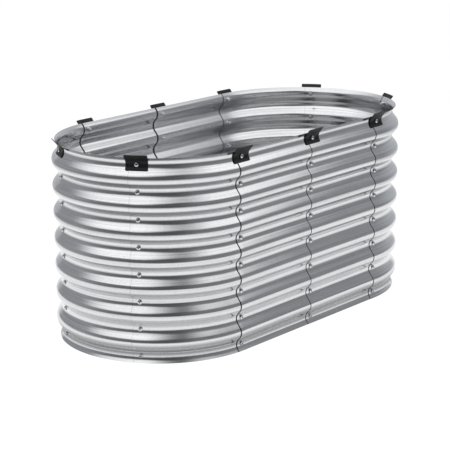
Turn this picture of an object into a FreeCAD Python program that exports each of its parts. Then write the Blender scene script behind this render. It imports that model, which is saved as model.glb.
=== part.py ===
import FreeCAD, Part
import math
import os

import Sketcher

# Oval raised garden bed. A ring of corrugated steel sheets, open at the top and the bottom:
# straight sheets along the two sides and sheets bent to an arc round the two ends. Each sheet
# laps over the next, a column of screws clamps every lap, and the top screw also holds a rim clip.
#
# Frame: origin on the ground at the middle of the bed, X along its length, Z up.
# Bolt columns ("seams") and sheets are numbered counter-clockwise as seen from above,
# from the front left corner of the straight side at -Y.

os.makedirs("parts", exist_ok=True)
doc = FreeCAD.newDocument("raised_garden_bed")

# Driving dimensions, in millimetres and degrees.
driving = {
    "end_radius": 300,  # middle of the sheet, halfway between valley and crest, round the ends
    "side_cover": 314,  # one straight sheet, from bolt column to bolt column
    "end_panels": 3,  # bent sheets round each end
    "side_panels": 2,  # straight sheets along each side
    "wave_pitch": 76.2,  # one whole wave of the corrugation
    "wave_depth": 19,  # from valley to crest, on the middle of the sheet
    "wave_rows": 8,  # valleys up the wall, each with one row of bolts
    "flank_angle": 40,  # steepest slope of the wave, from upright
    "gauge": 0.6,  # sheet thickness
    "lap": 42,  # overlap of two neighbouring sheets
    "lap_gap": 0.1,  # air left between lapped sheets
    "clip_width": 63,  # along the wall
    "clip_thickness": 2,
    "clip_gap": 0.2,  # air left behind a clip
    "clip_rise": 9.5,  # clip above the rim of the sheet
    "clip_foot": 50,  # how far the clip curls round below the screw
    "screw_diameter": 6,
    "hole_clearance": 1,  # how much wider than the screw the holes of sheets and clips are
    "screw_length": 16,
    "head_diameter": 12,
    "head_height": 3.6,
    "head_edge": 1.5,  # upright edge of the head, below its slope
    "head_top": 7,  # flat top of the head
    "washer_diameter": 16,
    "washer_clearance": 0.4,  # how much wider than the screw a washer's bore is
    "washer_thickness": 1.2,
    "nut_width": 10,  # across flats
    "nut_height": 5,
    "nut_clearance": 0.2,  # how much wider than the screw a nut's bore is
    "seat_gap": 0.1,  # air left under screw heads, washers and nuts
}

sheet = doc.addObject("Spreadsheet::Sheet", "Dimensions")
for row, (alias, number) in enumerate(driving.items(), start=1):
    sheet.set(f"A{row}", alias.replace("_", " "))
    sheet.set(f"B{row}", str(number))
    sheet.setAlias(f"B{row}", alias)
doc.recompute()


def size(alias):
    return float(sheet.get(alias))


# Sizes that follow from the driving ones, as expressions on the sheet.
# A wave is round at valley and crest, with a straight flank between: this is the radius of its
# bends on the middle of the sheet, for which bends and flanks join smoothly.
FLANK = "(Dimensions.flank_angle * 1 deg)"
BEND = (
    f"((Dimensions.wave_pitch / 4 * tan{FLANK} - Dimensions.wave_depth / 2)"
    f" / (1 / cos{FLANK} - 1))"
)
TAB_TURN = "(Dimensions.lap / 2 / Dimensions.end_radius * 1 rad)"
CLIP_TURN = "(Dimensions.clip_width / 2 / Dimensions.end_radius * 1 rad)"
CLIP_FOOT = "(Dimensions.clip_foot * 1 deg)"
PANEL_TURN = "(180 deg / Dimensions.end_panels)"

# The same sizes as numbers, where they place whole pieces.
flank = math.radians(size("flank_angle"))
bend = (size("wave_pitch") / 4 * math.tan(flank) - size("wave_depth") / 2) / (1 / math.cos(flank) - 1)
rows = round(size("wave_rows"))
pitch = size("wave_pitch")
gauge = size("gauge")
first_row = pitch / 4  # the sheet is cut at mid-flank, a quarter wave below the lowest valley
top_row = first_row + (rows - 1) * pitch
panel_turn = math.pi / size("end_panels")
lap_step = gauge / math.cos(flank) + size("lap_gap")  # radial distance between lapped sheets


# --- Sketch helpers ---


def origin_feature(body, role):
    return next(f for f in body.Origin.OriginFeatures if f.Role == role)


def new_sketch(body, name, plane):
    sketch = body.newObject("Sketcher::SketchObject", name)
    sketch.AttachmentSupport = [(origin_feature(body, plane), "")]
    sketch.MapMode = "FlatFace"
    return sketch


def constrain(sketch, kind, *args, to=None):
    # to: the expression that drives the constraint
    index = sketch.addConstraint(Sketcher.Constraint(kind, *args))
    if to is not None:
        sketch.setExpression(f"Constraints[{index}]", to)


def add_line(sketch, start, end):
    return sketch.addGeometry(
        Part.LineSegment(FreeCAD.Vector(*start, 0), FreeCAD.Vector(*end, 0))
    )


def join(sketch, lines, closed=False):
    # end to end, in order
    followers = lines[1:] + lines[:1] if closed else lines[1:]
    for line, follower in zip(lines, followers):
        constrain(sketch, "Coincident", line, 2, follower, 1)


def add_outline(sketch, points):
    # a closed outline of straight lines through the points
    lines = [add_line(sketch, a, b) for a, b in zip(points, points[1:] + points[:1])]
    join(sketch, lines, closed=True)
    return lines


def bridge(sketch, start, end):
    # a line from one curve's end to another's, each given as (curve, end)
    points = [sketch.getPoint(*place) for place in (start, end)]
    line = add_line(sketch, (points[0].x, points[0].y), (points[1].x, points[1].y))
    constrain(sketch, "Coincident", line, 1, *start)
    constrain(sketch, "Coincident", line, 2, *end)
    return line


def new_body(label, placement):
    body = doc.addObject("PartDesign::Body", label)
    body.Label = label
    body.AllowCompound = True
    body.Placement = placement
    return body


# --- The wave ---

# One skin of one wave, from crest centre up to the next crest centre. Each round bend is rolled
# as three flats that touch its arc, so a wave has nine flats, each at a share of the flank angle.
LEANS = (0, 0.5, 1, 0.5, 0, -0.5, -1, -0.5, 0)


def skin_lines(sketch, side):
    # side: +1 is the outer skin, -1 the inner one
    crest_flat = 2 * (bend + side * gauge / 2) * math.tan(flank / 4)
    valley_flat = 2 * (bend - side * gauge / 2) * math.tan(flank / 4)
    slope = (size("wave_depth") - (crest_flat + valley_flat) * math.sin(flank / 2)) / math.sin(flank)
    lengths = (crest_flat / 2, crest_flat, slope, valley_flat)
    lengths = lengths + (valley_flat,) + lengths[::-1]
    lines = []
    x = size("end_radius") + size("wave_depth") / 2 + side * gauge / 2
    y = -pitch / 4
    for lean, length in zip(LEANS, lengths):
        start = (x, y)
        x -= length * math.sin(lean * flank)
        y += length * math.cos(lean * flank)
        lines.append(add_line(sketch, start, (x, y)))
    join(sketch, lines)

    skin = f"{side} * Dimensions.gauge / 2"
    crest_length = f"2 * ({BEND} + {skin}) * tan({FLANK} / 4)"
    valley_length = f"2 * ({BEND} - {skin}) * tan({FLANK} / 4)"
    for flat in (0, 4, 8):
        constrain(sketch, "Vertical", lines[flat])
    for flat, end, sign in ((0, 1, "+"), (4, 1, "-"), (8, 2, "+")):
        radius = f"Dimensions.end_radius {sign} Dimensions.wave_depth / 2 + {skin}"
        constrain(sketch, "DistanceX", lines[flat], end, sketch.getPoint(lines[flat], end).x, to=radius)
    constrain(sketch, "DistanceY", lines[0], 1, -pitch / 4, to="-Dimensions.wave_pitch / 4")
    constrain(sketch, "DistanceY", lines[8], 2, pitch * 3 / 4, to="Dimensions.wave_pitch * 3 / 4")
    constrain(sketch, "Distance", lines[0], lengths[0], to=f"{crest_length} / 2")
    constrain(sketch, "Distance", lines[1], lengths[1], to=crest_length)
    constrain(sketch, "Distance", lines[4], lengths[4], to=valley_length)
    constrain(sketch, "Equal", lines[7], lines[1])
    constrain(sketch, "Equal", lines[3], lines[4])
    constrain(sketch, "Equal", lines[5], lines[4])
    return lines


def wave_sketch(body):
    sketch = new_sketch(body, "wave", "XZ_Plane")
    outer = skin_lines(sketch, 1)
    inner = skin_lines(sketch, -1)
    for flat, lean in enumerate(LEANS):
        if flat in (1, 2, 6, 7):
            turn = f"90 deg + {lean} * {FLANK}"
            constrain(sketch, "Angle", outer[flat], math.pi / 2 + lean * flank, to=turn)
    constrain(sketch, "Parallel", outer[3], outer[1])
    constrain(sketch, "Parallel", outer[5], outer[7])
    for flat in (1, 2, 3, 5, 6, 7):
        constrain(sketch, "Parallel", inner[flat], outer[flat])
    for flat, end in ((0, 1), (8, 2)):
        bridge(sketch, (outer[flat], end), (inner[flat], end))
    return sketch


# --- Runs along the wall ---

# A run follows the wall from the plane of a bolt column: "straight" along Y, "bent" about Z.
# forward is counter-clockwise. A sketch on the XZ plane pads along -Y and turns about +Z,
# so a straight run is reversed to go forward and a bent one to go back.


def straight_run(body, sketch, name, length, forward, back=None):
    run = body.newObject("PartDesign::Pad", name)
    run.Profile = sketch
    run.Reversed = forward
    run.setExpression("Length", length)
    if back is not None:
        run.SideType = "Two sides"
        run.setExpression("Length2", back)
    return run


def bent_run(body, sketch, name, turn, forward, back=None):
    run = body.newObject("PartDesign::Revolution", name)
    run.Profile = sketch
    run.ReferenceAxis = (sketch, ["V_Axis"])
    run.Reversed = not forward
    run.setExpression("Angle", turn)
    if back is not None:
        run.Type = "TwoAngles"
        run.setExpression("Angle2", back)
    return run


def row_pattern(body, features, name, count, spacing_count):
    # copies of the features up the rows of valleys
    pattern = body.newObject("PartDesign::LinearPattern", name)
    pattern.Originals = features
    pattern.Direction = (origin_feature(body, "Z_Axis"), [""])
    pattern.setExpression("Length", f"({spacing_count}) * Dimensions.wave_pitch")
    pattern.setExpression("Occurrences", count)
    body.Tip = pattern
    return pattern


# --- Bolt columns ---


def seam_places():
    # Where each bolt column is: the point on the long axis that it faces away from, and the
    # direction it faces, counter-clockwise from +X in degrees.
    half = size("side_cover") * size("side_panels") / 2
    sides = round(size("side_panels"))
    ends = round(size("end_panels"))
    places = []
    for facing, way in ((-90, 1), (90, -1)):
        for step in range(sides):
            places.append((way * (step * size("side_cover") - half), facing))
        for step in range(ends):
            places.append((way * half, facing + 180 * step / ends))
    return places


def seam_frame(seam):
    # X points out through the wall, Y counter-clockwise along it
    x, facing = places[seam % len(places)]
    return FreeCAD.Placement(
        FreeCAD.Vector(x, 0, 0), FreeCAD.Rotation(FreeCAD.Vector(0, 0, 1), facing)
    )


def is_bent(panel):
    # panel number p runs from seam p to seam p + 1
    sides = round(size("side_panels"))
    ends = round(size("end_panels"))
    return panel % (sides + ends) >= sides


# --- Sheets ---


def shingled(panel, home_is_start):
    # Seen from outside, a sheet's left end lies over its neighbour and its right end lies under
    # the next one. So each sheet is moved as a whole, its left end out by half a lap step and
    # its right end in by as much.
    if is_bent(panel):
        middle = panel_turn / 2 if home_is_start else -panel_turn / 2
        shift = -lap_step / (2 * math.sin(panel_turn / 2))
        back = math.degrees(-shift * math.cos(panel_turn / 2) / size("end_radius"))
        along = FreeCAD.Vector(-math.sin(middle) * shift, math.cos(middle) * shift, 0)
        return FreeCAD.Placement(along, FreeCAD.Rotation(FreeCAD.Vector(0, 0, 1), back))
    reach = size("side_cover") / 2 if home_is_start else -size("side_cover") / 2
    centre = FreeCAD.Vector(size("end_radius"), reach, 0)
    turn = FreeCAD.Rotation(FreeCAD.Vector(0, 0, 1), math.degrees(lap_step / size("side_cover")))
    return FreeCAD.Placement(FreeCAD.Vector(0, 0, 0), turn, centre)


def shear(body, name, height, upwards):
    # cuts the sheet off level, above or below a height
    sketch = new_sketch(body, name + "_line", "XY_Plane")
    sketch.setExpression("AttachmentOffset.Base.z", height)
    disc = sketch.addGeometry(
        Part.Circle(FreeCAD.Vector(0, 0, 0), FreeCAD.Vector(0, 0, 1), size("end_radius") * 2)
    )
    constrain(sketch, "Coincident", disc, 3, -1, 1)
    reach = "2 * (Dimensions.end_radius + Dimensions.side_cover)"
    constrain(sketch, "Radius", disc, size("end_radius") * 2, to=reach)
    cut = body.newObject("PartDesign::Pocket", name)
    cut.Profile = sketch
    cut.Type = "ThroughAll"
    cut.Reversed = upwards
    return cut


def add_bore(sketch, clearance):
    # a circle for the screw to pass through
    radius = (size("screw_diameter") + size(clearance)) / 2
    circle = Part.Circle(FreeCAD.Vector(0, 0, 0), FreeCAD.Vector(0, 0, 1), radius)
    bore = sketch.addGeometry(circle)
    to = f"(Dimensions.screw_diameter + Dimensions.{clearance}) / 2"
    constrain(sketch, "Radius", bore, radius, to=to)
    return bore


def bolt_hole(body, height=None):
    # a round hole out through the wall at the plane of the bolt column
    sketch = new_sketch(body, "hole_centre", "YZ_Plane")
    hole = add_bore(sketch, "hole_clearance")
    if height is None:
        constrain(sketch, "Coincident", hole, 3, -1, 1)
    else:
        constrain(sketch, "PointOnObject", hole, 3, -2)
        constrain(sketch, "DistanceY", -1, 1, hole, 3, first_row, to=height)
    cut = body.newObject("PartDesign::Pocket", "bolt_hole")
    cut.Profile = sketch
    cut.Type = "ThroughAll"
    cut.Reversed = True
    return cut


def both_columns(body, hole, bent, forward):
    # the hole repeated up the rows and at the sheet's far bolt column
    grid = body.newObject("PartDesign::MultiTransform", "bolt_holes")
    grid.Originals = [hole]
    up = body.newObject("PartDesign::LinearPattern", "hole_rows")
    up.Direction = (origin_feature(body, "Z_Axis"), [""])
    up.setExpression("Length", "(Dimensions.wave_rows - 1) * Dimensions.wave_pitch")
    up.setExpression("Occurrences", "Dimensions.wave_rows")
    if bent:
        across = body.newObject("PartDesign::PolarPattern", "hole_columns")
        across.Axis = (origin_feature(body, "Z_Axis"), [""])
        across.setExpression("Angle", PANEL_TURN)
    else:
        across = body.newObject("PartDesign::LinearPattern", "hole_columns")
        across.Direction = (origin_feature(body, "Y_Axis"), [""])
        across.setExpression("Length", "Dimensions.side_cover")
    across.Occurrences = 2
    across.Reversed = not forward
    grid.Transformations = [up, across]
    body.Tip = grid


def make_panel(panel):
    bent = is_bent(panel)
    starts_at_change = is_bent(panel - 1) != bent
    ends_at_change = is_bent(panel + 1) != bent
    # the sheet is drawn at the bolt column where the wall goes from straight to bent
    home_is_start = not ends_at_change
    home = panel if home_is_start else panel + 1
    at_change = starts_at_change or ends_at_change

    kind = "bent" if bent else "straight"
    body = new_body(f"{kind}_panel_{panel + 1}", seam_frame(home) * shingled(panel, home_is_start))
    wave = wave_sketch(body)
    if bent:
        far = f"{PANEL_TURN} + {TAB_TURN}"
        runs = [bent_run(body, wave, "sheet", far, home_is_start, None if at_change else TAB_TURN)]
        if at_change:
            runs.append(straight_run(body, wave, "tab", "Dimensions.lap / 2", not home_is_start))
    else:
        far = "Dimensions.side_cover + Dimensions.lap / 2"
        back = None if at_change else "Dimensions.lap / 2"
        runs = [straight_run(body, wave, "sheet", far, home_is_start, back)]
        if at_change:
            runs.append(bent_run(body, wave, "tab", TAB_TURN, not home_is_start))
    row_pattern(body, runs, "waves", "Dimensions.wave_rows", "Dimensions.wave_rows - 1")
    shear(body, "foot_cut", "0 mm", False)
    rim_height = "(Dimensions.wave_rows - 0.5) * Dimensions.wave_pitch"
    shear(body, "rim_cut", rim_height, True)
    hole = bolt_hole(body, "Dimensions.wave_pitch / 4")
    both_columns(body, hole, bent, home_is_start)
    return body


# --- Rim clips ---


def clip_sketch(body):
    # Section of the plate, with the top valley's middle at height 0: it lies in the valley and
    # goes straight on up the flank, past the rim. Back face first, then front face.
    sketch = new_sketch(body, "clip_section", "XZ_Plane")
    centre = (size("end_radius") - size("wave_depth") / 2 + bend + lap_step / 2, 0)
    back_radius = bend - gauge / 2 - size("clip_gap")
    foot = math.radians(size("clip_foot"))
    tip = pitch / 4 + size("clip_rise")
    climb = (tip - back_radius * math.sin(flank)) / math.cos(flank)
    arcs = []
    slopes = []
    for inset in (0, size("clip_thickness")):
        circle = Part.Circle(
            FreeCAD.Vector(*centre, 0), FreeCAD.Vector(0, 0, 1), back_radius - inset
        )
        arcs.append(sketch.addGeometry(Part.ArcOfCircle(circle, math.pi - flank, math.pi + foot)))
        start = sketch.getPoint(arcs[-1], 1)
        end = (start.x + climb * math.sin(flank), start.y + climb * math.cos(flank))
        slopes.append(add_line(sketch, (start.x, start.y), end))

    back_to = f"{BEND} - Dimensions.gauge / 2 - Dimensions.clip_gap"
    radius_to = (back_to, f"{back_to} - Dimensions.clip_thickness")
    centre_to = (
        f"Dimensions.end_radius - Dimensions.wave_depth / 2 + {BEND}"
        f" + (Dimensions.gauge / cos{FLANK} + Dimensions.lap_gap) / 2"
    )
    constrain(sketch, "DistanceX", arcs[0], 3, centre[0], to=centre_to)
    constrain(sketch, "PointOnObject", arcs[0], 3, -1)
    constrain(sketch, "Coincident", arcs[1], 3, arcs[0], 3)
    for arc, slope, radius in zip(arcs, slopes, radius_to):
        constrain(sketch, "Radius", arc, sketch.Geometry[arc].Radius, to=radius)
        constrain(sketch, "Tangent", arc, 1, slope, 1)
    constrain(sketch, "Angle", slopes[0], math.pi / 2 - flank, to=f"90 deg - {FLANK}")
    constrain(sketch, "Parallel", slopes[1], slopes[0])
    tip_to = "Dimensions.wave_pitch / 4 + Dimensions.clip_rise"
    constrain(sketch, "DistanceY", slopes[0], 2, tip, to=tip_to)

    top_edge = bridge(sketch, (slopes[0], 2), (slopes[1], 2))
    constrain(sketch, "Perpendicular", top_edge, slopes[0])
    foot_edge = bridge(sketch, (arcs[0], 2), (arcs[1], 2))
    constrain(sketch, "PointOnObject", arcs[0], 3, foot_edge)
    constrain(sketch, "Angle", foot_edge, foot, to=CLIP_FOOT)
    return sketch


def make_clip(seam):
    frame = seam_frame(seam) * FreeCAD.Placement(FreeCAD.Vector(0, 0, top_row), FreeCAD.Rotation())
    body = new_body(f"rim_clip_{seam + 1}", frame)
    sketch = clip_sketch(body)
    half = "Dimensions.clip_width / 2"
    before, after = is_bent(seam - 1), is_bent(seam)
    if before and after:
        bent_run(body, sketch, "plate", CLIP_TURN, True, CLIP_TURN)
    elif not before and not after:
        straight_run(body, sketch, "plate", half, True, half)
    else:
        bent_run(body, sketch, "bent_half", CLIP_TURN, after)
        straight_run(body, sketch, "straight_half", half, before)
    bolt_hole(body)
    return body


# --- Fasteners ---


def add_screw(body, name, out=0, up_to=None):
    # A pan head screw along X. Its head sits at distance out, at a height given by an expression.
    sketch = new_sketch(body, name + "_section", "XZ_Plane")
    sketch.AttachmentOffset = FreeCAD.Placement(FreeCAD.Vector(out, 0, 0), FreeCAD.Rotation())
    if up_to is not None:
        sketch.setExpression("AttachmentOffset.Base.y", up_to)
    shank = size("screw_diameter") / 2
    head = size("head_diameter") / 2
    points = [
        (-size("screw_length"), 0),
        (-size("screw_length"), shank),
        (0, shank),
        (0, head),
        (size("head_edge"), head),
        (size("head_height"), size("head_top") / 2),
        (size("head_height"), 0),
    ]
    tip, side, seat, edge, slope, top, axis = add_outline(sketch, points)
    for line in (side, edge):
        constrain(sketch, "Horizontal", line)
    for line in (tip, seat, top):
        constrain(sketch, "Vertical", line)
    constrain(sketch, "PointOnObject", seat, 1, -2)
    for end in (1, 2):
        constrain(sketch, "PointOnObject", axis, end, -1)
    lengths = ((side, "screw_length"), (edge, "head_edge"))
    for line, alias in lengths:
        constrain(sketch, "Distance", line, size(alias), to=f"Dimensions.{alias}")
    constrain(sketch, "DistanceX", top, 1, size("head_height"), to="Dimensions.head_height")
    radii = ((side, "screw_diameter"), (edge, "head_diameter"), (top, "head_top"))
    for line, alias in radii:
        constrain(sketch, "DistanceY", line, 1, size(alias) / 2, to=f"Dimensions.{alias} / 2")
    screw = body.newObject("PartDesign::Revolution", name)
    screw.Profile = sketch
    screw.ReferenceAxis = (sketch, ["H_Axis"])
    screw.Angle = 360
    return screw


def head_seat(radius):
    # where a head's flat underside first meets a valley of this radius
    return radius - math.sqrt(radius**2 - (size("head_diameter") / 2) ** 2)


def make_screws(seam):
    # one screw in each valley, and one through the clip in the top valley
    valley = size("end_radius") - size("wave_depth") / 2 + lap_step / 2
    on_sheet = valley + gauge / 2 + head_seat(bend - gauge / 2) + size("seat_gap")
    clip_front = gauge / 2 + size("clip_gap") + size("clip_thickness")
    on_clip = valley + clip_front + head_seat(bend - clip_front) + size("seat_gap")
    frame = FreeCAD.Placement(FreeCAD.Vector(on_sheet, 0, first_row), FreeCAD.Rotation())
    body = new_body(f"screws_{seam + 1}", seam_frame(seam) * frame)
    screw = add_screw(body, "screw")
    row_pattern(body, [screw], "screw_rows", "Dimensions.wave_rows - 1", "Dimensions.wave_rows - 2")
    top = "(Dimensions.wave_rows - 1) * Dimensions.wave_pitch"
    add_screw(body, "clip_screw", on_clip - on_sheet, top)
    return body


def inner_face():
    # the flat behind the wall that washers lie against, clear of the curve of the bent sheets
    ridge = size("end_radius") - size("wave_depth") / 2 - lap_step / 2 - gauge / 2
    edge = size("washer_diameter") / 2
    return math.sqrt(ridge**2 - edge**2) - size("seat_gap")


def add_disc_pad(body, sketch, name, thickness):
    pad = body.newObject("PartDesign::Pad", name)
    pad.Profile = sketch
    pad.Reversed = True
    pad.setExpression("Length", f"Dimensions.{thickness}")
    return pad


def make_washers(seam):
    frame = FreeCAD.Placement(FreeCAD.Vector(inner_face(), 0, first_row), FreeCAD.Rotation())
    body = new_body(f"washers_{seam + 1}", seam_frame(seam) * frame)
    sketch = new_sketch(body, "ring", "YZ_Plane")
    radius = size("washer_diameter") / 2
    rim = sketch.addGeometry(Part.Circle(FreeCAD.Vector(0, 0, 0), FreeCAD.Vector(0, 0, 1), radius))
    constrain(sketch, "Radius", rim, radius, to="Dimensions.washer_diameter / 2")
    for circle in (rim, add_bore(sketch, "washer_clearance")):
        constrain(sketch, "Coincident", circle, 3, -1, 1)
    washer = add_disc_pad(body, sketch, "washer", "washer_thickness")
    row_pattern(body, [washer], "washer_rows", "Dimensions.wave_rows", "Dimensions.wave_rows - 1")
    return body


def make_nuts(seam):
    out = inner_face() - size("washer_thickness") - size("seat_gap")
    frame = FreeCAD.Placement(FreeCAD.Vector(out, 0, first_row), FreeCAD.Rotation())
    body = new_body(f"nuts_{seam + 1}", seam_frame(seam) * frame)
    sketch = new_sketch(body, "hexagon", "YZ_Plane")
    corner = size("nut_width") / 2 / math.cos(math.pi / 6)
    corners = [
        (corner * math.cos(math.pi / 3 * turn), corner * math.sin(math.pi / 3 * turn))
        for turn in range(6)
    ]
    flats = add_outline(sketch, corners)
    circle = Part.Circle(FreeCAD.Vector(0, 0, 0), FreeCAD.Vector(0, 0, 1), corner)
    through_corners = sketch.addGeometry(circle, True)
    constrain(sketch, "Coincident", through_corners, 3, -1, 1)
    constrain(sketch, "Radius", through_corners, corner, to="Dimensions.nut_width / 2 / cos(30 deg)")
    constrain(sketch, "PointOnObject", flats[0], 1, -1)
    for flat in flats:
        constrain(sketch, "PointOnObject", flat, 1, through_corners)
    for flat, after in zip(flats, flats[1:]):
        constrain(sketch, "Equal", flat, after)
    constrain(sketch, "Coincident", add_bore(sketch, "nut_clearance"), 3, -1, 1)
    nut = add_disc_pad(body, sketch, "nut", "nut_height")
    row_pattern(body, [nut], "nut_rows", "Dimensions.wave_rows", "Dimensions.wave_rows - 1")
    return body


# --- The bed ---

places = seam_places()
pieces = {}  # body: the solids it must hold
for number in range(len(places)):
    pieces[make_panel(number)] = 1
    pieces[make_clip(number)] = 1
    pieces[make_screws(number)] = rows
    pieces[make_washers(number)] = rows
    pieces[make_nuts(number)] = rows
doc.recompute()

for item in doc.Objects:
    if {"Invalid", "Error"} & set(item.State):
        raise RuntimeError(f"{item.Label} failed: {item.State}")
for body, solids in pieces.items():
    if body.Shape.isNull() or not body.Shape.isValid():
        raise RuntimeError(f"{body.Label} has no valid shape")
    if len(body.Shape.Solids) != solids:
        raise RuntimeError(f"{body.Label} has {len(body.Shape.Solids)} solids, not {solids}")
for body in pieces:
    body.Shape.exportStep(f"parts/{body.Label}.step")
print(f"{len(pieces)} nodes, {sum(pieces.values())} solids")
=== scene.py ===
import math

import bmesh
import bpy
import numpy as np
from mathutils import Matrix, Vector


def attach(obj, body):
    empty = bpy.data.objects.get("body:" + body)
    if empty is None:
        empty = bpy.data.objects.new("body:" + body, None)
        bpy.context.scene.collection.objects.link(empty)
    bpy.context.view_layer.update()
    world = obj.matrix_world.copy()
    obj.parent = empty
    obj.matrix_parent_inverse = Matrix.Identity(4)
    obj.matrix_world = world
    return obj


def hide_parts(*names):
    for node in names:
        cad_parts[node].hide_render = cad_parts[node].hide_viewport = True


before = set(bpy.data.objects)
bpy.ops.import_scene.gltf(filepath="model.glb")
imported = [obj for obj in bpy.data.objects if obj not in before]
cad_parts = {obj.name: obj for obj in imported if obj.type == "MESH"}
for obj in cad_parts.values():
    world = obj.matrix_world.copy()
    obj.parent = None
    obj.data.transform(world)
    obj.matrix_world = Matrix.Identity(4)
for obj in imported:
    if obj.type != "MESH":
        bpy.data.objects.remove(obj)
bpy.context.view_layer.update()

print("frame loaded:", len(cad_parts), "nodes")

# The bed's own sizes, in metres and degrees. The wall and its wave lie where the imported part
# has them.
bed = {
    "endRadius": 0.3,  # to the middle of the wave
    "sideCover": 0.314,  # one straight sheet, from bolt column to bolt column
    "endSheets": 3,
    "sideSheets": 2,
    "pitch": 0.0762,
    "depth": 0.019,
    "rows": 8,
    "flank": 40,
    "gauge": 0.0006,
    "lap": 0.042,
    "lapGap": 0.0001,
    "seatGap": 0.0001,
}
fullTurn = 2 * math.pi
flank = math.radians(bed["flank"])
radius = bed["endRadius"]
pitch = bed["pitch"]
gauge = bed["gauge"]
rim = pitch * (bed["rows"] - 0.5)
bend = (pitch / 4 * math.tan(flank) - bed["depth"] / 2) / (1 / math.cos(flank) - 1)
lapStep = gauge / math.cos(flank) + bed["lapGap"]
valley = radius - bed["depth"] / 2 + lapStep / 2
sheetTurn = math.pi / bed["endSheets"]
sideReach = bed["sideCover"] * bed["sideSheets"] / 2
perEnd = bed["endSheets"] + bed["sideSheets"]
seamCount = 2 * perEnd


photoCamera = {
    "azimuth": -49.32,
    "elevation": 14.92,
    "roll": -0.41,
    "distance": 4.644,
    "lens": 123.46,
    "sensor": 36,
    "farthest": 200,
    "target": (-0.026, 0.0134, 0.2486),
}


def addCamera(look):
    a = math.radians(look["azimuth"])
    e = math.radians(look["elevation"])
    back = Vector((math.sin(a) * math.cos(e), -math.cos(a) * math.cos(e), math.sin(e)))
    right = Vector((math.cos(a), math.sin(a), 0))
    turn = Matrix((right, back.cross(right), back)).transposed().to_4x4()
    roll = Matrix.Rotation(math.radians(look["roll"]), 4, "Z")
    data = bpy.data.cameras.new("photoCamera")
    data.sensor_width = look["sensor"]
    data.lens = look["lens"]
    data.clip_end = look["farthest"]
    camera = bpy.data.objects.new("photoCamera", data)
    spot = Vector(look["target"]) + back * look["distance"]
    camera.matrix_world = Matrix.Translation(spot) @ turn @ roll
    bpy.context.scene.collection.objects.link(camera)
    bpy.context.scene.camera = camera


addCamera(photoCamera)
print("camera placed")


class Wire:
    # a socket that takes part in sums, so that 1 - mask adds its Math node
    def __init__(self, shop, socket):
        self.shop = shop
        self.socket = socket

    def maths(self, operation, *values):
        return self.shop.add("ShaderNodeMath", {"operation": operation}, *values)

    def __add__(self, other):
        return self.maths("ADD", self, other)

    def __sub__(self, other):
        return self.maths("SUBTRACT", self, other)

    def __mul__(self, other):
        return self.maths("MULTIPLY", self, other)

    def __truediv__(self, other):
        return self.maths("DIVIDE", self, other)

    def __pow__(self, other):
        return self.maths("POWER", self, other)

    def __rsub__(self, other):
        return self.maths("SUBTRACT", other, self)

    __radd__ = __add__
    __rmul__ = __mul__


class Shop:
    # builds one node tree
    def __init__(self, tree):
        self.tree = tree
        tree.nodes.clear()

    def node(self, kind, settings=None, *values, **named):
        made = self.tree.nodes.new(kind)
        for name, value in (settings or {}).items():
            if name == "stops":
                ramp = made.color_ramp.elements
                while len(ramp) < len(value):
                    ramp.new(0.5)
                for stop, (place, colour) in zip(ramp, value):
                    stop.position = place
                    stop.color = (*colour, 1)
            else:
                setattr(made, name, value)
        for place, value in enumerate(values):
            self.feed(made.inputs[place], value)
        for name, value in named.items():
            self.feed(made.inputs[name.replace("_", " ")], value)
        return made

    def feed(self, socket, value):
        if isinstance(value, Wire):
            self.tree.links.new(value.socket, socket)
        elif value is not None:
            if socket.type == "RGBA" and len(value) == 3:
                value = (*value, 1)
            socket.default_value = value

    def add(self, kind, settings=None, *values, out=0, **named):
        return Wire(self, self.node(kind, settings, *values, **named).outputs[out])

    def mixColour(self, factor, one, two):
        # the Mix node's colour sockets are its inputs 6 and 7 and its output 2
        made = self.node("ShaderNodeMix", {"data_type": "RGBA"})
        for place, value in ((0, factor), (6, one), (7, two)):
            self.feed(made.inputs[place], value)
        return Wire(self, made.outputs[2])

    def spot(self):
        # object coordinates, in metres
        return self.add("ShaderNodeTexCoord", None, out=3)

    def axes(self):
        split = self.node("ShaderNodeSeparateXYZ", None, self.spot())
        return Wire(self, split.outputs["X"]), Wire(self, split.outputs["Y"])

    def stretched(self, vector, scale):
        return self.add("ShaderNodeMapping", None, vector, None, None, scale)

    def noise(self, vector, scale, detail=2.0, roughness=0.5):
        return self.add(
            "ShaderNodeTexNoise", None,
            Vector=vector, Scale=scale, Detail=detail, Roughness=roughness,
        )

    def band(self, value, low, high):
        smooth = {"interpolation_type": "SMOOTHSTEP"}
        return self.add("ShaderNodeMapRange", smooth, value, low, high, 0.0, 1.0)

    def between(self, value, low, high):
        # 1 within a range whose ends are each given as a place and its softness
        rise = self.band(value, low[0] - low[1], low[0] + low[1])
        fall = self.band(value, high[0] - high[1], high[0] + high[1])
        return rise * (1 - fall)

    def bump(self, height, strength, distance):
        return self.add(
            "ShaderNodeBump", None, Strength=strength, Distance=distance, Height=height
        )

    def output(self, shader):
        self.node("ShaderNodeOutputMaterial", None, shader)

    def finish(self, **named):
        self.output(self.add("ShaderNodeBsdfPrincipled", None, **named))

    def glow(self, colour):
        self.output(self.add("ShaderNodeEmission", None, colour, 1.0))


def newFinish(name):
    made = bpy.data.materials.new(name)
    made.use_nodes = True
    return made, Shop(made.node_tree)


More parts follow.
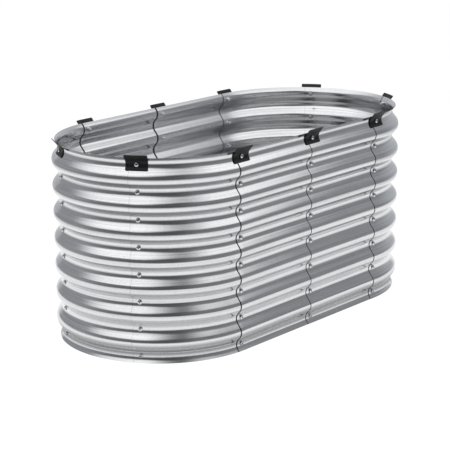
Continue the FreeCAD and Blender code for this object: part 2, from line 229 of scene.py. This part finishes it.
zincSheet = {
    "light": (0.765, 0.77, 0.78),
    "dark": (0.56, 0.57, 0.59),
    "lightTone": 0.68,
    "darkTone": 0.38,
    "roughness": 0.17,
    "lineScale": (1.1, 560.0, 1.0),  # marks in a metre, along the wall and up it
    "lineTone": 0.6,
    "lineRough": 0.10,
    "lineHeight": 0.00009,
    "streakScale": (0.45, 140.0, 1.0),
    "streakTone": 0.35,
    "streakHeight": 0.00022,
    "crystalScale": 260.0,
    "crystalTone": 0.05,
    "cloudScale": 9.0,
    "cloudTone": 0.1,
    "cloudRough": 0.05,
    "swellScale": 4.0,
    "swellStretch": (1.0, 1.0, 1.6),
    "swellHeight": 0.0011,
    "bump": 0.35,
}


def makeZincSheet(look):
    made, shop = newFinish("zincSheet")
    rolled = shop.add("ShaderNodeUVMap", {"uv_map": "rolled"})
    spot = shop.spot()
    # fine lines and broader streaks left by the rolls, long along the wall
    lines = shop.noise(shop.stretched(rolled, look["lineScale"]), 1.0, detail=3.0, roughness=0.6)
    streaks = shop.noise(shop.stretched(rolled, look["streakScale"]), 1.0)
    # zinc crystals, each a slightly different grey
    crystals = shop.node(
        "ShaderNodeTexVoronoi", {"feature": "F1"}, Vector=spot, Scale=look["crystalScale"]
    )
    grain = shop.add("ShaderNodeSeparateColor", None, Wire(shop, crystals.outputs["Color"]))
    clouds = shop.noise(spot, look["cloudScale"], detail=3.0, roughness=0.55)
    tone = lines * look["lineTone"] + streaks * look["streakTone"]
    tone = tone + grain * look["crystalTone"] + clouds * look["cloudTone"]
    lightness = shop.band(tone, look["darkTone"], look["lightTone"])
    rough = look["roughness"] + (lines - 0.5) * look["lineRough"]
    rough = rough + (clouds - 0.5) * look["cloudRough"]
    # the slight swell of sheet that was rolled and bent
    stretched = shop.stretched(spot, look["swellStretch"])
    swell = shop.noise(stretched, look["swellScale"], detail=1.0)
    height = lines * look["lineHeight"] + streaks * look["streakHeight"]
    height = height + swell * look["swellHeight"]
    shop.finish(
        Base_Color=shop.mixColour(lightness, look["dark"], look["light"]),
        Metallic=1.0,
        Roughness=rough,
        Normal=shop.bump(height, look["bump"], 1.0),
    )
    return made


# the cut end of a sheet, and the painted shadow of the lap's gap beside it
cutEdgeAndGapShadow = {
    "colour": (0.02, 0.02, 0.022),
    "worn": (0.09, 0.09, 0.095),
    "wornFrom": 0.5,
    "wornFull": 0.75,
    "patchScale": 160.0,
    "patchRough": 0.2,
    "roughness": 0.6,
    "metal": 0.2,
}


def makeCutEdgeAndGapShadow(look):
    # the sheared end of a sheet, dull where the zinc is cut through, and the band beside it painted
    # dark for the shadow in the lap's gap
    made, shop = newFinish("cutEdgeAndGapShadow")
    patches = shop.noise(shop.spot(), look["patchScale"], detail=3.0, roughness=0.6)
    worn = shop.band(patches, look["wornFrom"], look["wornFull"])
    shop.finish(
        Base_Color=shop.mixColour(worn, look["colour"], look["worn"]),
        Metallic=look["metal"],
        Roughness=look["roughness"] + patches * look["patchRough"],
    )
    return made


blackClip = {
    "colour": (0.006, 0.006, 0.007),
    "dusty": (0.018, 0.018, 0.020),
    "dustyFrom": 0.45,
    "dustyFull": 0.8,
    "dustScale": 60.0,
    "dustRough": 0.15,
    "roughness": 0.42,
    "sheen": 0.25,
    "pitScale": 1400.0,
    "pitBump": 0.25,
    "pitDepth": 0.0003,
}


def makeBlackClip(look):
    made, shop = newFinish("blackClip")
    spot = shop.spot()
    pits = shop.noise(spot, look["pitScale"], roughness=0.6)
    dust = shop.noise(spot, look["dustScale"], detail=4.0, roughness=0.6)
    dusty = shop.band(dust, look["dustyFrom"], look["dustyFull"])
    shop.finish(
        Base_Color=shop.mixColour(dusty, look["colour"], look["dusty"]),
        Roughness=look["roughness"] + (dust - 0.5) * look["dustRough"],
        Specular_IOR_Level=look["sheen"],
        Normal=shop.bump(pits, look["pitBump"], look["pitDepth"]),
    )
    return made


# the inside of the driver's cross, painted near black for the shade that falls in the recess
recessShade = {"colour": (0.05, 0.05, 0.052), "metal": 0.6, "roughness": 0.45}


def makeRecessShade(look):
    made, shop = newFinish("recessShade")
    shop.finish(Base_Color=look["colour"], Metallic=look["metal"], Roughness=look["roughness"])
    return made


zincScrew = {
    "light": (0.86, 0.86, 0.87),
    "dark": (0.64, 0.65, 0.67),
    "lightTone": 0.7,
    "darkTone": 0.4,
    "roughness": 0.07,
    "markScale": 700.0,
    "markRough": 0.12,
    "markBump": 0.12,
    "markDepth": 0.0002,
}


def makeZincScrew(look):
    made, shop = newFinish("zincScrew")
    marks = shop.noise(shop.spot(), look["markScale"], detail=3.0, roughness=0.6)
    lightness = shop.band(marks, look["darkTone"], look["lightTone"])
    shop.finish(
        Base_Color=shop.mixColour(lightness, look["dark"], look["light"]),
        Metallic=1.0,
        Roughness=look["roughness"] + marks * look["markRough"],
        Normal=shop.bump(marks, look["markBump"], look["markDepth"]),
    )
    return made


sheetFinish = makeZincSheet(zincSheet)
edgeAndGapShadowFinish = makeCutEdgeAndGapShadow(cutEdgeAndGapShadow)
clipFinish = makeBlackClip(blackClip)
screwFinish = makeZincScrew(zincScrew)
recessShadeFinish = makeRecessShade(recessShade)
print("finishes written")


def isBent(sheet):
    return sheet % perEnd >= bed["sideSheets"]


def seamFrame(seam):
    # X points out through the wall at the bolt column, Y counter-clockwise along it
    half, step = divmod(seam % seamCount, perEnd)
    x = min(step, bed["sideSheets"]) * bed["sideCover"] - sideReach
    facing = -90 + 180 * max(step - bed["sideSheets"], 0) / bed["endSheets"]
    return (
        Matrix.Rotation(math.pi * half, 4, "Z")
        @ Matrix.Translation((x, 0, 0))
        @ Matrix.Rotation(math.radians(facing), 4, "Z")
    )


def shingled(bent, way):
    # each sheet's left end lies out and its right end in, by half a lap step
    if bent:
        middle = way * sheetTurn / 2
        shift = -lapStep / (2 * math.sin(sheetTurn / 2))
        back = -shift * math.cos(sheetTurn / 2) / radius
        along = Vector((-math.sin(middle) * shift, math.cos(middle) * shift, 0))
        return Matrix.Translation(along) @ Matrix.Rotation(back, 4, "Z")
    centre = Vector((radius, way * bed["sideCover"] / 2, 0))
    turn = Matrix.Rotation(lapStep / bed["sideCover"], 4, "Z")
    return Matrix.Translation(centre) @ turn @ Matrix.Translation(-centre)


def wallPoint(along, out, height, bent):
    if bent:
        return out * math.cos(along / radius), out * math.sin(along / radius), height
    return out, along, height


def rowHeight(row):
    return pitch / 4 + row * pitch


def runLengths(points):
    # how far along a line of (out, height, ...) each of its points lies
    lengths = [0.0]
    for a, b in zip(points, points[1:]):
        lengths.append(lengths[-1] + math.dist(a[:2], b[:2]))
    return lengths


def ringFaces(first, second, count):
    # faces between two closed rings of vertices, from the number of each ring's first one
    faces = []
    for i in range(count):
        j = (i + 1) % count
        faces.append((first + i, first + j, second + j, second + i))
    return faces


def newPiece(name, verts, faces, finishes, sharpAngle=None):
    mesh = bpy.data.meshes.new(name)
    mesh.from_pydata(verts, [], faces)
    mesh.validate()
    for finish in finishes:
        mesh.materials.append(finish)
    mesh.shade_smooth()
    if sharpAngle is not None:
        mesh.set_sharp_from_angle(angle=math.radians(sharpAngle))
    piece = bpy.data.objects.new(name, mesh)
    bpy.context.scene.collection.objects.link(piece)
    return piece


sheets = {
    "bendSteps": 8,  # facets in half a bend of the wave
    "turnStep": 0.0078,  # along the wall, where it is bent
    "straightStep": 0.06,
    "nearest": 1e-5,  # that two rows of vertices may come to each other
    "sharp": 35,
    "lineShift": 0.7,  # of the rolled lines, from one sheet to the next
    # how wide the dark band at each seam is: the cut end, and beside it the painted shadow of the
    # lap's gap
    "outerEdgeAndGapShadow": (
        0.003, 0.0014, 0.0018, 0.002, 0.002, 0.0034, 0.0014, 0.0018, 0.0004, 0.0004,
    ),
    "innerEdgeAndGapShadow": (
        0.003, 0.003, 0.003, 0.004, 0.0004, 0.002, 0.0055, 0.0045, 0.003, 0.003,
    ),
}


def waveSkin(side):
    # (out, height) up the wall, from the foot to the rim, on its outer (1) or inner (-1) side
    offset = side * gauge / 2
    steps = sheets["bendSteps"]
    leans = [flank * step / steps for step in range(-steps, steps + 1)]
    valleyCentre = radius - bed["depth"] / 2 + bend
    crestCentre = radius + bed["depth"] / 2 - bend
    valleyBend, crestBend = bend - offset, bend + offset
    edge = radius + offset / math.cos(flank)
    points = [(edge, 0.0)]
    for row in range(bed["rows"]):
        low = rowHeight(row)
        for lean in leans:
            out = valleyCentre - valleyBend * math.cos(lean)
            points.append((out, low + valleyBend * math.sin(lean)))
        if row < bed["rows"] - 1:
            high = low + pitch / 2
            for lean in reversed(leans):
                out = crestCentre + crestBend * math.cos(lean)
                points.append((out, high - crestBend * math.sin(lean)))
    points.append((edge, rim))
    return points


def sheetStations(bent, atChange, way, darkEndWidths):
    # places along the wall from the home bolt column, and whether the wall is bent there
    far = (sheetTurn * radius if bent else bed["sideCover"]) + bed["lap"] / 2
    near = -bed["lap"] / 2
    low, high = darkEndWidths if way > 0 else darkEndWidths[::-1]
    marks = {0.0, near, far, near + low, far - high}
    for start, end, curved in ((0, far, bent), (near, 0, bent != atChange)):
        stride = sheets["turnStep"] if curved else sheets["straightStep"]
        count = math.ceil((end - start) / stride)
        marks |= {start + (end - start) * step / count for step in range(count + 1)}
    kept = []
    for place in sorted(marks):
        if not kept or place - kept[-1] > sheets["nearest"]:
            kept.append(place)
    stations = [(way * place, bent if place > 0 else bent != atChange) for place in kept]
    return stations[::way]


def sheetFaces(places, half, darkEndWidths):
    # faces of both skins and of the cut ends, with slot 1 for the cut ends and for the band beside
    # them that is painted dark as the shadow in the lap's gap
    count = 2 * half
    hair = sheets["nearest"] / 10
    lowEdge = places[0] + darkEndWidths[0] + hair
    highEdge = places[-1] - darkEndWidths[1] - hair
    faces = []
    slots = []
    for step in range(len(places) - 1):
        here, after = step * count, (step + 1) * count
        for i in range(count):
            j = (i + 1) % count
            faces.append((here + i, after + i, after + j, here + j))
            darkLow = places[step + 1] < lowEdge and i < half - 1
            darkHigh = places[step] > highEdge and half <= i < count - 1
            slots.append(int(darkLow or darkHigh))
    last = (len(places) - 1) * count
    for i in range(half - 1):
        opposite = count - 1 - i
        faces.append((i, i + 1, opposite - 1, opposite))
        faces.append((last + i + 1, last + i, last + opposite, last + opposite - 1))
        slots += [1, 1]
    return faces, slots


def unroll(mesh, across, up):
    # UVs in metres along the wall and up the flattened sheet
    corner = np.zeros(len(mesh.loops), np.int32)
    mesh.loops.foreach_get("vertex_index", corner)
    flat = np.stack((across[corner // len(up)], up[corner % len(up)]), 1)
    layer = mesh.uv_layers.new(name="rolled")
    layer.data.foreach_set("uv", flat.astype(np.float32).ravel())


def makeSheet(number):
    bent = isBent(number)
    atStart = isBent(number - 1) != bent
    atEnd = isBent(number + 1) != bent
    way = -1 if atEnd else 1
    home = number + 1 if atEnd else number
    put = seamFrame(home) @ shingled(bent, way)
    # widths of the dark bands at the sheet's two ends: cut end and painted shadow of the lap's gap
    darkEndWidths = (sheets["outerEdgeAndGapShadow"][number], sheets["innerEdgeAndGapShadow"][(number + 1) % seamCount])
    stations = sheetStations(bent, atStart or atEnd, way, darkEndWidths)
    places = [along for along, _ in stations]
    outer, inner = waveSkin(1), waveSkin(-1)
    verts = []
    for along, curved in stations:
        for out, height in outer + inner[::-1]:
            verts.append(put @ Vector(wallPoint(along, out, height, curved)))
    faces, slots = sheetFaces(places, len(outer), darkEndWidths)
    kind = "bent" if bent else "straight"
    finishes = (sheetFinish, edgeAndGapShadowFinish)
    piece = newPiece(f"{kind}_sheet_{number + 1}", verts, faces, finishes, sheets["sharp"])
    piece.data.polygons.foreach_set("material_index", slots)
    up = runLengths(outer)
    unroll(piece.data, np.array(places) + number * sheets["lineShift"], np.array(up + up[::-1]))
    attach(piece, "root")
    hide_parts(f"{kind}_panel_{number + 1}")


for number in range(seamCount):
    makeSheet(number)
print("sheets rolled")


clips = {
    "width": 0.063,
    "thickness": 0.002,
    "gap": 0.0002,
    "rise": 0.0095,  # past the rim
    "foot": 50,  # degrees of the valley's bend that the plate follows below the screw
    "corner": 0.003,
    "edge": 0.0004,
    "edgeFrom": 50,  # degrees from which an edge is rounded
    "edgeSteps": 2,
    "sharp": 40,
    "bendSteps": 18,
    "lipSteps": 8,
    "cornerSteps": 6,
    "rowSteps": 26,
    "widthSteps": 25,
}


def clipSection():
    # (out, height, lean) from the foot to the tip along the back of the plate
    back = bend - gauge / 2 - clips["gap"]
    centre = valley + bend
    foot = math.radians(clips["foot"])
    points = []
    for step in range(clips["bendSteps"] + 1):
        lean = -foot + (flank + foot) * step / clips["bendSteps"]
        points.append((centre - back * math.cos(lean), back * math.sin(lean), lean))
    out, height, _ = points[-1]
    climb = (pitch / 4 + clips["rise"] - height) / math.cos(flank)
    for step in range(1, clips["lipSteps"] + 1):
        go = climb * step / clips["lipSteps"]
        points.append((out + go * math.sin(flank), height + go * math.cos(flank), flank))
    return points


def clipRows(total):
    # places along the section, closer together where the corners are rounded
    corner, steps = clips["corner"], clips["cornerSteps"]
    ends = [corner * (1 - math.cos(math.pi / 2 * step / steps)) for step in range(steps + 1)]
    middle = np.linspace(corner, total - corner, clips["rowSteps"])[1:-1]
    return ends + list(middle) + [total - end for end in reversed(ends)]


def plateFaces(wide, tall):
    # both sides of a plate of wide by tall vertices, and its border
    top = wide * tall
    faces = []
    for i in range(tall - 1):
        for j in range(wide - 1):
            a = i * wide + j
            b = a + wide
            faces.append((a, b, b + 1, a + 1))
            faces.append((top + a, top + a + 1, top + b + 1, top + b))
    border = list(range(wide))
    border += [i * wide + wide - 1 for i in range(1, tall)]
    border += [(tall - 1) * wide + j for j in range(wide - 2, -1, -1)]
    border += [i * wide for i in range(tall - 2, 0, -1)]
    for a, b in zip(border, border[1:] + border[:1]):
        faces.append((a, b, b + top, a + top))
    return faces


def makeClip(seam):
    section = clipSection()
    lengths = runLengths(section)
    total = lengths[-1]
    corner = clips["corner"]
    rows = clipRows(total)
    across = np.linspace(-1, 1, clips["widthSteps"])
    before, after = isBent(seam - 1), isBent(seam)
    put = seamFrame(seam) @ Matrix.Translation((0, 0, rowHeight(bed["rows"] - 1)))
    verts = []
    for inset in (0, clips["thickness"]):
        for length in rows:
            nearEnd = min(length, total - length)
            cut = 0
            if nearEnd < corner:
                cut = corner - math.sqrt(max(corner**2 - (corner - nearEnd) ** 2, 0))
            place = np.interp(length, lengths, range(len(lengths)))
            i = min(int(place), len(section) - 2)
            out, height, lean = (
                a + (b - a) * (place - i) for a, b in zip(section[i], section[i + 1])
            )
            out += inset * math.cos(lean)
            height -= inset * math.sin(lean)
            for share in across:
                along = share * (clips["width"] / 2 - cut)
                bent = after if share > 0 else before
                verts.append(put @ Vector(wallPoint(along, out, height, bent)))
    faces = plateFaces(len(across), len(rows))
    piece = newPiece(f"clip_{seam + 1}", verts, faces, (clipFinish,), clips["sharp"])
    bevel = piece.modifiers.new("edge", "BEVEL")
    bevel.width = clips["edge"]
    bevel.segments = clips["edgeSteps"]
    bevel.limit_method = "ANGLE"
    bevel.angle_limit = math.radians(clips["edgeFrom"])
    bevel.harden_normals = True
    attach(piece, "root")
    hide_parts(f"rim_clip_{seam + 1}")


for seam in range(seamCount):
    makeClip(seam)
print("clips bent")


# every fastener is made about X, with the face that meets the wall, washer or clip at 0
fasteners = {
    "shank": 0.006,
    "length": 0.016,
    "head": 0.012,
    "headHeight": 0.0036,
    "headEdge": 0.0013,  # height of the head's straight side, under the dome
    "headBevel": 0.0003,
    "headRoot": 0.001,  # of the shank, in one piece with the head
    "headTurns": 32,
    "domeSteps": 12,
    "domeCurve": 0.8,
    "recessDepth": 0.0024,
    "recessAbove": 0.0005,
    "recessMouth": (0.0035, 0.00085),  # half length and half width of an arm of the cross
    "recessFloor": (0.0019, 0.0006),
    "thread": 0.001,
    "threadDepth": 0.00045,
    "threaded": 0.009,  # from the tip
    "threadTurns": 18,
    "threadRings": 4,  # in each turn of the thread
    "tip": 0.8,  # of the full width, which the tip widens from
    "tipStart": 0.4,  # rings past there, where the tip is cut off
    "tipRings": 3,
    "washer": 0.016,
    "washerBore": 0.0064,
    "washerThickness": 0.0012,
    "washerEdge": 0.00018,
    "washerTurns": 36,
    "nut": 0.010,
    "nutBore": 0.0062,
    "nutHeight": 0.005,
    "nutShoulder": 0.97,  # of the width over the flats, where the chamfer begins
    "nutChamfer": 30,
    "nutSink": 0.0005,
    "nutTurns": 48,
    "sharp": 28,
    "spinSeed": 40,
}


def lathe(profile, turns, closed=False):
    # verts and faces of (along X, radius) turned about X
    angles = [fullTurn * turn / turns for turn in range(turns)]
    verts = [(x, r * math.cos(a), r * math.sin(a)) for x, r in profile for a in angles]
    rings = len(profile)
    faces = []
    for i in range(rings if closed else rings - 1):
        faces += ringFaces(i * turns, (i + 1) % rings * turns, turns)
    return verts, faces


def crossRecess():
    # the tapered cross that a driver fits, as a closed body about X
    top = fasteners["headHeight"]
    body = bmesh.new()
    for turn in (0, math.pi / 2):
        made = bmesh.ops.create_cube(body, size=1)["verts"]
        for vert in made:
            if vert.co.x > 0:
                x, (reach, wide) = top + fasteners["recessAbove"], fasteners["recessMouth"]
            else:
                x, (reach, wide) = top - fasteners["recessDepth"], fasteners["recessFloor"]
            vert.co = Vector((x, math.copysign(reach, vert.co.y), math.copysign(wide, vert.co.z)))
        spun = Matrix.Rotation(turn, 3, "X")
        bmesh.ops.rotate(body, verts=made, cent=(0, 0, 0), matrix=spun)
    mesh = bpy.data.meshes.new("crossRecess")
    body.to_mesh(mesh)
    body.free()
    return bpy.data.objects.new("crossRecess", mesh)


def headBlank():
    # the domed head before its recess is cut, closed at both ends
    head, shank = fasteners["head"] / 2, fasteners["shank"] / 2
    root, bevel = fasteners["headRoot"], fasteners["headBevel"]
    rise = fasteners["headHeight"] - fasteners["headEdge"]
    turns, steps = fasteners["headTurns"], fasteners["domeSteps"]
    profile = [(-root, shank), (0.0, shank), (0.0, head - bevel), (bevel, head)]
    for step in range(1, steps):
        a = math.pi / 2 * step / steps
        out = head * math.cos(a) ** fasteners["domeCurve"]
        profile.append((fasteners["headEdge"] + rise * math.sin(a), out))
    verts, faces = lathe(profile, turns)
    tip = len(verts)
    verts += [(fasteners["headHeight"], 0, 0), (-root, 0, 0)]
    last = (len(profile) - 1) * turns
    for j in range(turns):
        k = (j + 1) % turns
        faces.append((last + j, last + k, tip))
        faces.append((k, j, tip + 1))
    mesh = bpy.data.meshes.new("screwHead")
    mesh.from_pydata(verts, [], faces)
    return bpy.data.objects.new("screwHead", mesh)


def cutHead():
    blank, cutter = headBlank(), crossRecess()
    for part in (blank, cutter):
        bpy.context.scene.collection.objects.link(part)
    cut = blank.modifiers.new("recess", "BOOLEAN")
    cut.operation = "DIFFERENCE"
    cut.solver = "EXACT"
    cut.object = cutter
    cut.use_self = True
    bpy.context.view_layer.update()
    ready = blank.evaluated_get(bpy.context.evaluated_depsgraph_get())
    shaped = bpy.data.meshes.new_from_object(ready)
    for part in (blank, cutter):
        bpy.data.objects.remove(part)
    return shaped


def inRecess(face):
    # faces of the recess lie under the dome and near the middle
    head = fasteners["head"] / 2
    rise = fasteners["headHeight"] - fasteners["headEdge"]
    near, low, under = 0.0034, 0.0005, 0.0003
    away = math.hypot(face.center.y, face.center.z)
    fall = min(1, away / head) ** (2 / fasteners["domeCurve"])
    dome = fasteners["headEdge"] + rise * (1 - fall) ** 0.5
    return away < near and low < face.center.x < dome - under


def addThread(verts, faces):
    # the threaded end, a ridge that climbs round the shank
    start = len(verts)
    turns, thread = fasteners["threadTurns"], fasteners["thread"]
    tip = fasteners["tip"]
    rings = round(fasteners["threaded"] / thread * fasteners["threadRings"])
    for i in range(rings + 1):
        x = -fasteners["length"] + fasteners["threaded"] * i / rings
        point = min(1, (i + fasteners["tipStart"]) / fasteners["tipRings"])
        for j in range(turns):
            share = (x / thread - j / turns) % 1
            ridge = abs(share * 2 - 1)
            r = fasteners["shank"] / 2 * (tip + (1 - tip) * point)
            r -= fasteners["threadDepth"] * ridge
            a = fullTurn * j / turns
            verts.append((x, r * math.cos(a), r * math.sin(a)))
    for i in range(rings):
        faces += ringFaces(start + i * turns, start + (i + 1) * turns, turns)
    faces.append(tuple(start + j for j in reversed(range(turns))))


# each shape is its verts, its faces, and whether each face is in the recess
def makeScrewShape():
    shaped = cutHead()
    verts = [tuple(vert.co) for vert in shaped.vertices]
    faces = [tuple(face.vertices) for face in shaped.polygons]
    sunk = [inRecess(face) for face in shaped.polygons]
    addThread(verts, faces)
    return verts, faces, sunk + [False] * (len(faces) - len(sunk))


def makeWasherShape():
    out, bore = fasteners["washer"] / 2, fasteners["washerBore"] / 2
    thick, edge = fasteners["washerThickness"], fasteners["washerEdge"]
    profile = [
        (0, bore + edge), (0, out - edge), (-edge, out), (edge - thick, out),
        (-thick, out - edge), (-thick, bore + edge), (edge - thick, bore), (-edge, bore),
    ]
    verts, faces = lathe(profile, fasteners["washerTurns"], closed=True)
    return verts, [face[::-1] for face in faces], [False] * len(faces)


def makeNutShape():
    # six sides with both faces chamfered, and a bore countersunk at both ends
    turns, sink = fasteners["nutTurns"], fasteners["nutSink"]
    flat, bore, tall = fasteners["nut"] / 2, fasteners["nutBore"] / 2, fasteners["nutHeight"]
    shoulder = flat * fasteners["nutShoulder"]
    rings = 8
    verts = []
    for ring in range(rings):
        for turn in range(turns):
            a = fullTurn * turn / turns
            side = (a + math.pi / 6) % (math.pi / 3) - math.pi / 6
            side = abs(side) - math.pi / 6
            corner = flat / math.cos(side)
            fall = (corner - shoulder) * math.tan(math.radians(fasteners["nutChamfer"]))
            r, x = (
                (bore, -sink), (bore + sink, 0), (shoulder, 0), (corner, -fall),
                (corner, fall - tall), (shoulder, -tall), (bore + sink, -tall), (bore, sink - tall),
            )[ring]
            verts.append((x, r * math.cos(a), r * math.sin(a)))
    faces = []
    for ring in range(rings):
        here, after = ring * turns, (ring + 1) % rings * turns
        for turn in range(turns):
            k = (turn + 1) % turns
            faces.append((after + k, after + turn, here + turn, here + k))
    return verts, faces, [False] * len(faces)


def seat(edge, curve):
    # how far out a flat disc first meets a valley of this radius
    return curve - math.sqrt(curve**2 - edge**2)


def makeFasteners(seam):
    column = seamFrame(seam)
    gap = bed["seatGap"]
    halfHead = fasteners["head"] / 2
    onSheet = valley + gauge / 2 + seat(halfHead, bend - gauge / 2) + gap
    front = gauge / 2 + clips["gap"] + clips["thickness"]
    onClip = valley + front + seat(halfHead, bend - front) + gap
    ridge = valley - lapStep - gauge / 2
    inside = math.sqrt(ridge**2 - (fasteners["washer"] / 2) ** 2) - gap
    nutFace = inside - fasteners["washerThickness"] - gap
    rows = bed["rows"]
    spin = np.random.default_rng(seam + fasteners["spinSeed"])
    for kind, node, (shapeVerts, shapeFaces, sunk), outs in (
        ("screw", "screws", screwShape, [onSheet] * (rows - 1) + [onClip]),
        ("washer", "washers", washerShape, [inside] * rows),
        ("nut", "nuts", nutShape, [nutFace] * rows),
    ):
        verts, faces = [], []
        for row, out in enumerate(outs):
            roll = Matrix.Rotation(spin.uniform(0, fullTurn), 4, "X")
            put = column @ Matrix.Translation((out, 0, rowHeight(row))) @ roll
            base = len(verts)
            verts += [put @ Vector(vert) for vert in shapeVerts]
            faces += [tuple(base + i for i in face) for face in shapeFaces]
        finishes = (screwFinish, recessShadeFinish)
        name = f"{kind}_column_{seam + 1}"
        piece = newPiece(name, verts, faces, finishes, fasteners["sharp"])
        # slot 1 puts the painted recess shade on the faces inside the cross recess
        if len(piece.data.polygons) == len(faces):
            slots = [int(dark) for dark in sunk] * rows
            piece.data.polygons.foreach_set("material_index", slots)
        else:
            print("faces lost in", name)
        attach(piece, "root")
        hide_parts(f"{node}_{seam + 1}")


screwShape = makeScrewShape()
washerShape = makeWasherShape()
nutShape = makeNutShape()
for seam in range(seamCount):
    makeFasteners(seam)
print("fasteners placed")


studio = {
    "side": 40,
    "paint": 0.18,  # of the floor, under the glow that brings it up to white
    "glow": 0.91,
    "inside": 0.7,  # paint of the ground within the bed, which has no glow
    "insideGap": 0.004,  # from the middle of the wall
    "insideHeight": 0.0006,
    "sky": 0.5,
    "ovalSteps": 96,
}


def grey(level):
    return (level, level, level)


def ovalRing(out, height):
    ring = []
    for step in range(studio["ovalSteps"]):
        a = math.radians((step + 0.5) * 360 / studio["ovalSteps"])
        x = math.copysign(sideReach, math.cos(a)) + out * math.cos(a)
        ring.append((x, out * math.sin(a), height))
    return ring


def flatPiece(name, corners, finish):
    newPiece(name, corners, [tuple(range(len(corners)))], (finish,))


def hideFromCamera(piece):
    piece.visible_camera = False
    piece.visible_diffuse = False
    piece.visible_shadow = False


def seenDirectly(shop):
    # 1 for the rays that show a thing, 0 for those that only carry its light
    path = shop.node("ShaderNodeLightPath")
    camera, glossy, clear = (
        Wire(shop, path.outputs[f"Is {kind} Ray"]) for kind in ("Camera", "Glossy", "Transmission")
    )
    return camera + glossy + clear


def makeFloor(look):
    made, shop = newFinish("paleFloor")
    paint = shop.add("ShaderNodeBsdfDiffuse", None, grey(look["paint"]))
    strength = seenDirectly(shop) * look["glow"]
    glow = shop.add("ShaderNodeEmission", None, Color=grey(1), Strength=strength)
    shop.output(shop.add("ShaderNodeAddShader", None, paint, glow))
    side = look["side"]
    corners = [(-side, -side, 0), (side, -side, 0), (side, side, 0), (-side, side, 0)]
    flatPiece("floor", corners, made)
    ground, shop = newFinish("groundInside")
    shop.output(shop.add("ShaderNodeBsdfDiffuse", None, grey(look["inside"])))
    ring = ovalRing(radius - look["insideGap"], look["insideHeight"])
    flatPiece("ground_inside", ring, ground)


# what the metal sees on the floor close to its foot, darker than the rest
footShade = {
    "width": 0.1,
    "dark": 0.38,
    "light": 0.98,
    "gap": 0.002,
    "height": 0.0008,
    "lead": 0.01,  # how far within the wall the dark begins to lift
}


def makeFootShade(look):
    made, shop = newFinish("footShade")
    x, y = shop.axes()
    past = x.maths("MAXIMUM", x.maths("ABSOLUTE", x) - sideReach, 0.0)
    away = (past**2 + y**2) ** 0.5 - radius
    share = shop.band(away, -look["lead"], look["width"] - look["lead"])
    shop.glow(shop.mixColour(share, grey(look["dark"]), grey(look["light"])))
    verts = ovalRing(radius + look["gap"], look["height"])
    steps = len(verts)
    verts += ovalRing(radius + look["width"], look["height"])
    hideFromCamera(newPiece("foot_shade", verts, ringFaces(0, steps, steps), (made,)))


# The room that only the metal sees: grey walls, and a grey ceiling with two softboxes in it.
# The greys go round by azimuth from behind (0) over the left, the front (0.5) and the right
# to behind (1).
room = {
    "radius": 2.6,
    "height": 1.6,
    "steps": 72,
    "coveStart": 1.3,  # where the floor that the metal sees begins to fall off to the walls
    "coveEnd": 2.45,
    "coveFoot": 0.002,
    "coveRise": 0.2,
    "coveWhite": 0.95,
    "tint": (0.96, 0.985, 1.03),
    "greys": (
        (0.00, 0.34), (0.14, 0.38), (0.20, 0.20), (0.30, 0.13), (0.39, 0.08),
        (0.45, 0.24), (0.66, 0.28), (0.73, 0.52), (0.86, 0.68), (0.96, 0.55),
    ),
    "bright": 1.3,
    "boxes": (  # low and high X, then low and high Y, each with its softness
        ((-2.3, 0.75), (0.5, 0.55), (-0.78, 0.45), (1.5, 0.9)),
        ((-0.4, 0.5), (1.6, 0.35), (-1.55, 0.35), (-0.3, 0.35)),
    ),
}


def roomGrey(shop, x, y):
    share = x.maths("ARCTAN2", x, 0 - y) / fullTurn + 0.5
    stops = []
    for place, level in room["greys"]:
        stops.append((place, tuple(level * tint for tint in room["tint"])))
    ramp = shop.node("ShaderNodeValToRGB", {"stops": stops}, share)
    ramp.color_ramp.interpolation = "B_SPLINE"
    return Wire(shop, ramp.outputs["Color"])


def roomRing(reach, height):
    angles = [math.radians(step * 360 / room["steps"]) for step in range(room["steps"])]
    return [(reach * math.cos(a), reach * math.sin(a), height) for a in angles]


def makeWall(look):
    made, shop = newFinish("wall")
    x, y = shop.axes()
    fall = shop.band((x**2 + y**2) ** 0.5, look["coveStart"], look["coveEnd"])
    shop.glow(shop.mixColour(fall, grey(look["coveWhite"]), roomGrey(shop, x, y)))
    steps = look["steps"]
    verts = roomRing(look["radius"], look["height"]) + roomRing(look["radius"], look["coveRise"])
    verts += roomRing(look["coveStart"], look["coveFoot"])
    faces = ringFaces(0, steps, steps) + ringFaces(steps, 2 * steps, steps)
    hideFromCamera(newPiece("wall", verts, faces, (made,)))


def makeCeiling(look):
    made, shop = newFinish("ceiling")
    x, y = shop.axes()
    colour = roomGrey(shop, x, y)
    for lowX, highX, lowY, highY in look["boxes"]:
        within = shop.between(x, lowX, highX) * shop.between(y, lowY, highY)
        colour = shop.mixColour(within, colour, grey(look["bright"]))
    shop.glow(colour)
    verts = roomRing(look["radius"], look["height"])
    hideFromCamera(newPiece("ceiling", verts, [tuple(range(look["steps"]))], (made,)))


def makeWorld(look):
    world = bpy.data.worlds.new("studio")
    world.use_nodes = True
    shop = Shop(world.node_tree)
    level = seenDirectly(shop) * (1 - look["sky"]) + look["sky"]
    sky = shop.add("ShaderNodeBackground", None, grey(1), level)
    shop.node("ShaderNodeOutputWorld", None, sky)
    bpy.context.scene.world = world


overheadLamp = {"spot": (-1.4, -0.9, 3.2), "aim": (0, 0, 0.3), "side": 2.6, "power": 75}


def makeLamp(look):
    data = bpy.data.lights.new("overhead", "AREA")
    data.shape = "SQUARE"
    data.size = look["side"]
    data.energy = look["power"]
    holder = bpy.data.objects.new("overhead", data)
    holder.location = look["spot"]
    holder.visible_glossy = False
    aim = Vector(look["aim"]) - Vector(look["spot"])
    holder.rotation_euler = aim.to_track_quat("-Z", "Y").to_euler()
    bpy.context.scene.collection.objects.link(holder)


makeFloor(studio)
makeFootShade(footShade)
makeWall(room)
makeCeiling(room)
makeWorld(studio)
makeLamp(overheadLamp)
bpy.context.scene.view_settings.view_transform = "Standard"
print("studio set")
